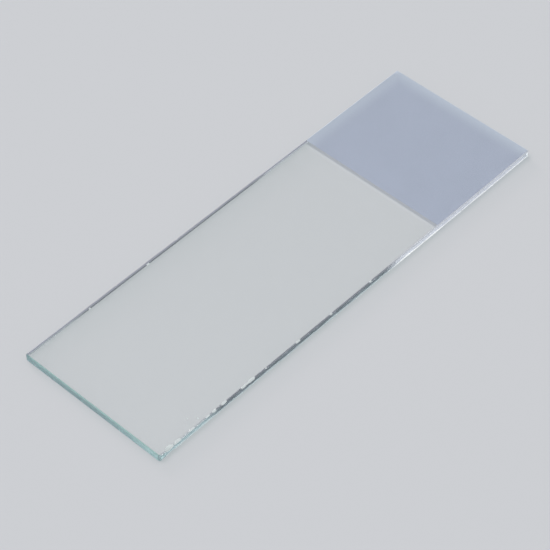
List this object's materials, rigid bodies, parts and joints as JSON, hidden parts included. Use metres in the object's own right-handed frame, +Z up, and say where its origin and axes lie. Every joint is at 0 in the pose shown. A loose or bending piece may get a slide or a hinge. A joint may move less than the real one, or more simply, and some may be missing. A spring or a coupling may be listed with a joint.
{
  "type": "microscope slide",
  "caption": "Flat clear glass microscope slide with finely ground edges and a frosted writing end.",
  "frame": {"origin": "middle of the underside, on the surface that the slide lies on", "axes": "+X along the slide towards its frosted end, +Y across the slide, +Z up through its thickness"},
  "size_m": [0.0762, 0.0254, 0.0012],
  "materials": {
    "clear_glass": "polished clear soda-lime glass, ground edges, one end of the upper face frosted"
  },
  "bodies": {
    "root": {"slide": "clear_glass"}
  },
  "joints": []
}
